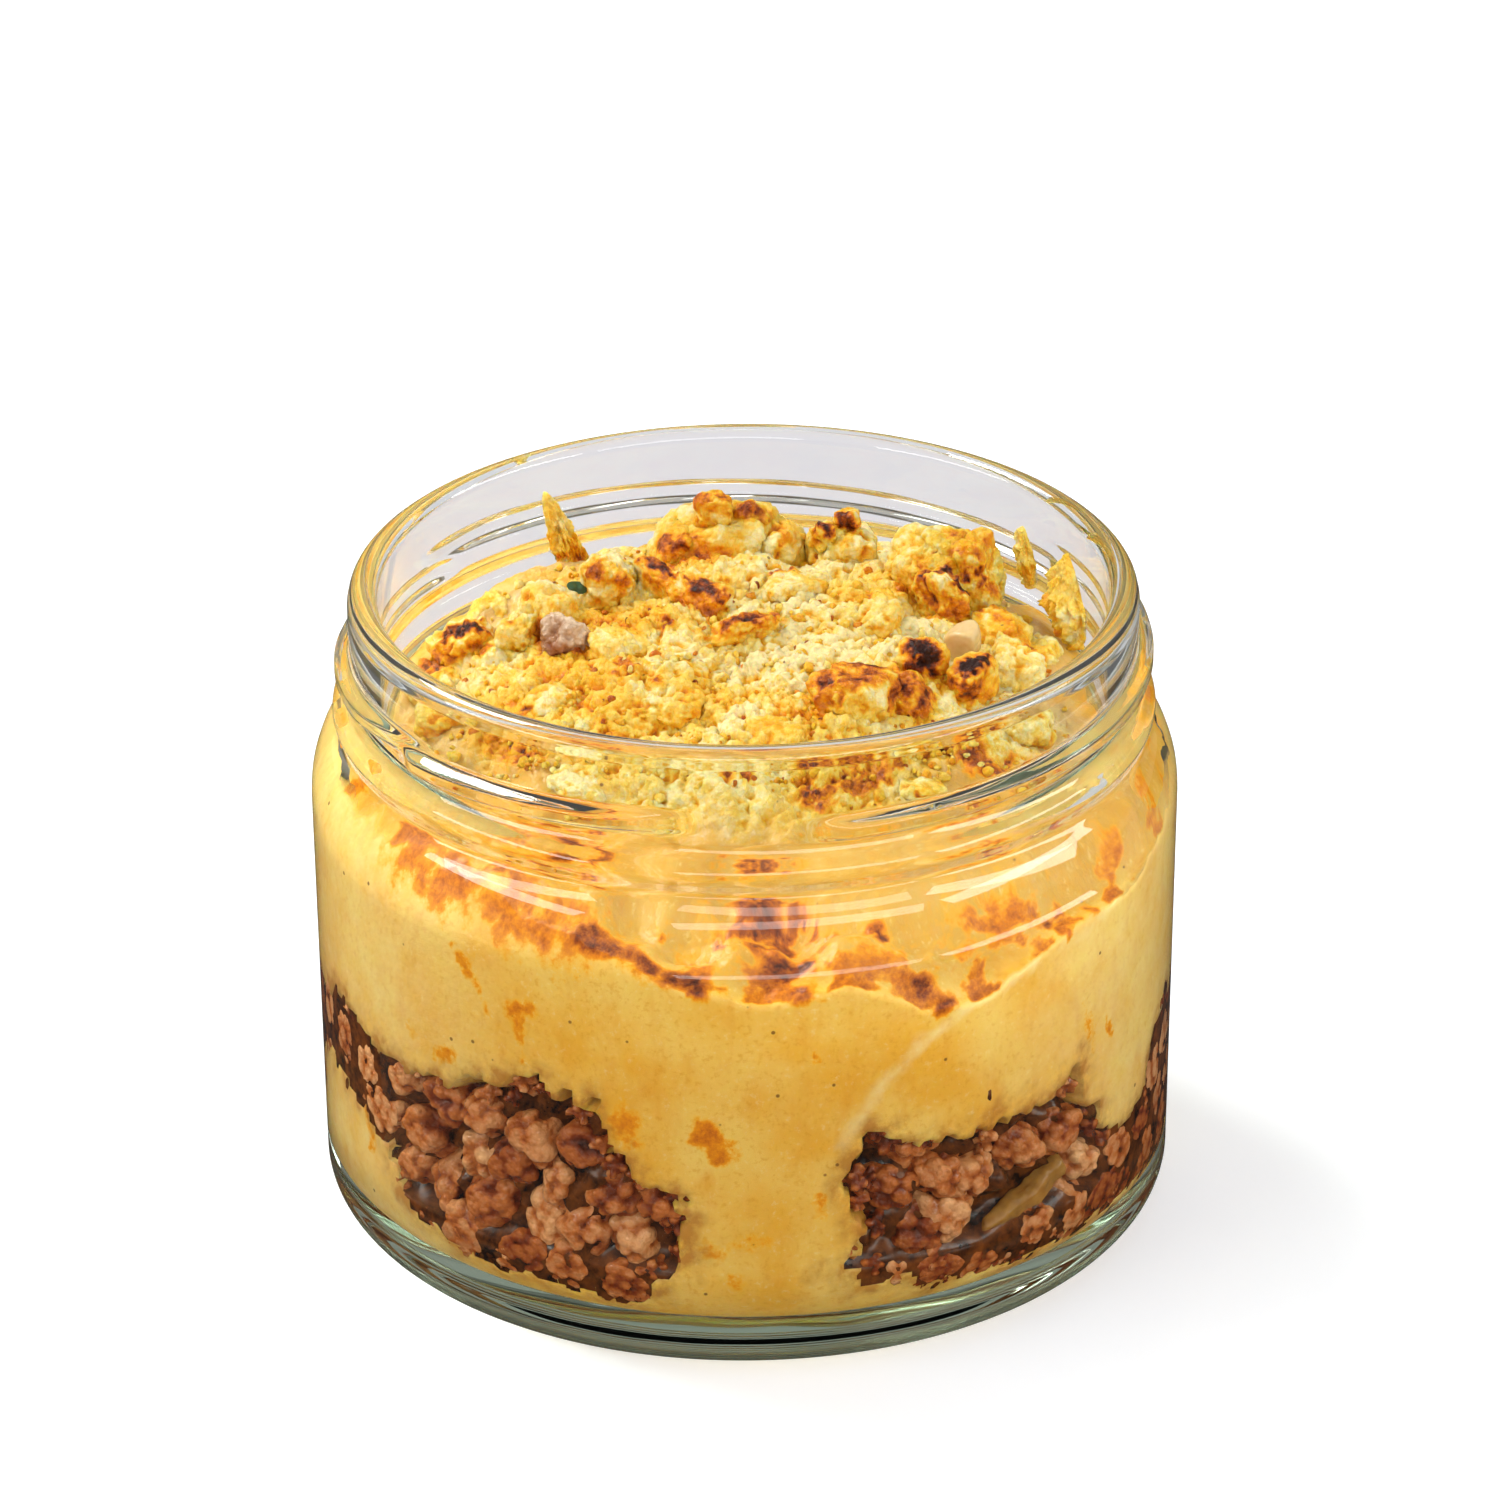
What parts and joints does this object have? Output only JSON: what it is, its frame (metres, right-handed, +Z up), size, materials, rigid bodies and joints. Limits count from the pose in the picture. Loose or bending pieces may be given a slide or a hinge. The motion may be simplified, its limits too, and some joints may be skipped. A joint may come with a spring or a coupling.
{
  "type": "shepherd's pie in a glass jar",
  "caption": "Shepherd's pie in a wide screw-neck glass jar: a mince layer under mashed potato that rises in a craggy browned crust inside the neck.",
  "frame": {"origin": "middle of the jar's base, on the surface it stands on", "axes": "+Z up along the jar's axis; -Y is the front, where the mash runs down to the floor between the two banks of mince"},
  "size_m": [0.092, 0.092, 0.07],
  "materials": {
    "glass": "clear soda-lime glass, fire polished, green in its thick edges",
    "mash": "mashed potato, moist where it meets the glass, browned and scorched on the crust",
    "mince": "cooked mince, knobbly and glossy with gravy",
    "onion": "soft cooked onion, moist"
  },
  "bodies": {
    "root": {"jar": "glass", "mash": "mash", "mince": "mince", "mash_smear_back_left": "mash", "mash_smear_back_right": "mash", "mash_smear_right": "mash", "mince_crumb_top": "mince", "onion_piece_top": "onion"}
  },
  "joints": []
}
